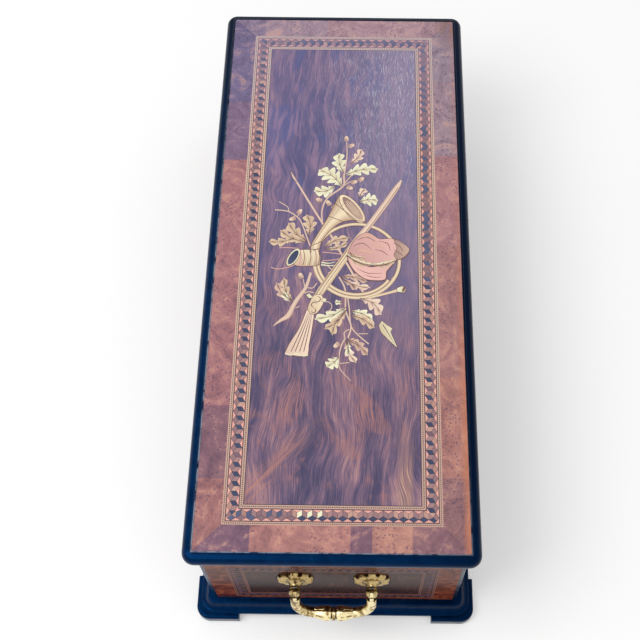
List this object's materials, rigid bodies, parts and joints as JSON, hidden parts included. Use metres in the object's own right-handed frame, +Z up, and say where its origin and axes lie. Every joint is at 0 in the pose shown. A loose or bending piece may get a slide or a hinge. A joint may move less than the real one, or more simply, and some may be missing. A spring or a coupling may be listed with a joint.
{
  "type": "cylinder music box",
  "caption": "Long veneered box with a flat marquetry lid, ebonised mouldings, a bail handle at each end and a comb-and-cylinder movement inside.",
  "frame": {"origin": "middle of the footprint, on the surface the feet stand on", "axes": "+X along the case towards the control levers, -Y towards the front with the keyhole, +Z up"},
  "size_m": [0.7398, 0.312, 0.2187],
  "materials": {
    "burr_veneer": "french polished burr veneer",
    "banding": "parquetry banding with light stringing",
    "field_veneer": "french polished rosewood veneer",
    "case_veneer": "french polished veneer on boards",
    "ebonised": "ebonised gloss",
    "pine": "plain planed pine",
    "gilt_brass": "cast and lacquered",
    "brass": "machined, lightly aged",
    "steel": "ground and polished",
    "blued_steel": "heat blued",
    "iron": "cast, bronze painted",
    "glass": "clear",
    "card": "printed card"
  },
  "bodies": {
    "case": {"case_front": "case_veneer", "case_back": "case_veneer", "case_left_end": "case_veneer", "case_right_end": "case_veneer", "corner_strips": "ebonised", "floor_board": "pine", "left_partition": "case_veneer", "right_partition": "case_veneer", "case_battens": "pine", "base_moulding": "ebonised", "bracket_feet": "ebonised", "case_hinge_leaves": "brass", "lock_body": "brass", "keyhole_escutcheon": "gilt_brass", "bedplate": "iron", "bedplate_screws": "blued_steel", "comb": "steel", "comb_base": "iron", "comb_screws": "blued_steel", "cylinder_bridges": "brass", "barrel_bridges": "brass", "governor_frame": "brass", "governor_cock": "brass", "control_posts": "brass", "left_handle_posts": "gilt_brass", "right_handle_posts": "gilt_brass"},
    "lid": {"lid_frame": "ebonised", "lid_board": "pine", "lid_crossbanding": "burr_veneer", "lid_banding": "banding", "lid_field": "field_veneer", "lid_moulding": "ebonised", "tune_card": "card", "lid_hinge_leaves": "brass", "lock_link_plate": "brass"},
    "glass_lid": {"glass_lid_frame": "ebonised", "glass_lid_pane": "glass", "glass_lid_pivots": "brass", "glass_lid_knob": "gilt_brass"},
    "lock_bolt": {"lock_bolt": "steel"},
    "cylinder_arbor": {"cylinder_arbor": "steel", "great_wheel": "brass"},
    "cylinder": {"music_cylinder": "brass"},
    "tune_snail": {"tune_snail": "steel"},
    "barrel": {"spring_barrel": "brass", "barrel_cover": "brass", "mainspring": "blued_steel"},
    "winding_arbor": {"winding_arbor": "steel", "ratchet_wheel": "steel"},
    "ratchet_click": {"ratchet_click": "steel"},
    "winding_lever": {"winding_lever": "steel", "lever_grip": "ebonised"},
    "governor_first": {"governor_first_wheel": "brass"},
    "governor_second": {"governor_second_wheel": "brass"},
    "fly": {"worm": "steel", "fan": "brass"},
    "start_lever": {"start_lever": "steel"},
    "change_lever": {"change_lever": "steel"},
    "left_bail": {"left_bail": "gilt_brass"},
    "right_bail": {"right_bail": "gilt_brass"}
  },
  "joints": [
    {"name": "lid_hinge", "type": "hinge", "parent": "case", "child": "lid", "pos_m": [0, 0.1383, 0.18215], "axis": [-1, 0, 0], "range_deg": [0, 100]},
    {"name": "glass_lid_hinge", "type": "hinge", "parent": "case", "child": "glass_lid", "pos_m": [0, 0.1185, 0.174], "axis": [-1, 0, 0], "range_deg": [0, 95]},
    {"name": "lock_slide", "type": "slide", "parent": "case", "child": "lock_bolt", "axis": [1, 0, 0], "range_m": [0, 0.005]},
    {"name": "cylinder_spin", "type": "hinge", "parent": "case", "child": "cylinder_arbor", "pos_m": [0, 0.045, 0.112], "axis": [1, 0, 0], "continuous": true},
    {"name": "tune_shift", "type": "slide", "parent": "cylinder_arbor", "child": "cylinder", "axis": [-1, 0, 0], "range_m": [0, 0.00245]},
    {"name": "snail_turn", "type": "hinge", "parent": "cylinder_arbor", "child": "tune_snail", "pos_m": [0.174, 0.034, 0.09295], "axis": [1, 0, 0], "range_deg": [0, 316]},
    {"name": "barrel_spin", "type": "hinge", "parent": "case", "child": "barrel", "pos_m": [0, -0.005, 0.112], "axis": [1, 0, 0], "continuous": true},
    {"name": "winding_arbor_spin", "type": "hinge", "parent": "case", "child": "winding_arbor", "pos_m": [0, -0.005, 0.112], "axis": [1, 0, 0], "continuous": true},
    {"name": "click_swing", "type": "hinge", "parent": "case", "child": "ratchet_click", "pos_m": [-0.24, 0.031, 0.131], "axis": [1, 0, 0], "range_deg": [-20, 1]},
    {"name": "winding_lever_swing", "type": "hinge", "parent": "case", "child": "winding_lever", "pos_m": [-0.292, -0.005, 0.112], "axis": [1, 0, 0], "range_deg": [0, 130]},
    {"name": "governor_first_spin", "type": "hinge", "parent": "case", "child": "governor_first", "pos_m": [0.2, 0.003, 0.112], "axis": [1, 0, 0], "continuous": true},
    {"name": "governor_second_spin", "type": "hinge", "parent": "case", "child": "governor_second", "pos_m": [0.2, -0.01955, 0.10379], "axis": [1, 0, 0], "continuous": true},
    {"name": "fly_spin", "type": "hinge", "parent": "case", "child": "fly", "pos_m": [0.206, -0.03555, 0.11], "axis": [0, 0, 1], "continuous": true},
    {"name": "start_lever_swing", "type": "hinge", "parent": "case", "child": "start_lever", "pos_m": [0.266, -0.07, 0.128], "axis": [1, 0, 0], "range_deg": [0, 40]},
    {"name": "change_lever_swing", "type": "hinge", "parent": "case", "child": "change_lever", "pos_m": [0.266, 0.092, 0.128], "axis": [-1, 0, 0], "range_deg": [0, 40]},
    {"name": "left_bail_swing", "type": "hinge", "parent": "case", "child": "left_bail", "pos_m": [-0.3515, 0, 0.118], "axis": [0, 1, 0], "range_deg": [0, 78]},
    {"name": "right_bail_swing", "type": "hinge", "parent": "case", "child": "right_bail", "pos_m": [0.3515, 0, 0.118], "axis": [0, -1, 0], "range_deg": [0, 78]}
  ],
  "couplings": [
    {"joint": "glass_lid_hinge", "follows": "lid_hinge", "ratio": 0.93},
    {"joint": "barrel_spin", "follows": "cylinder_spin", "ratio": -0.33333},
    {"joint": "governor_first_spin", "follows": "cylinder_spin", "ratio": -6},
    {"joint": "governor_second_spin", "follows": "cylinder_spin", "ratio": 24},
    {"joint": "fly_spin", "follows": "cylinder_spin", "ratio": 720},
    {"joint": "snail_turn", "follows": "tune_shift", "rad_per_m": 2244}
  ]
}
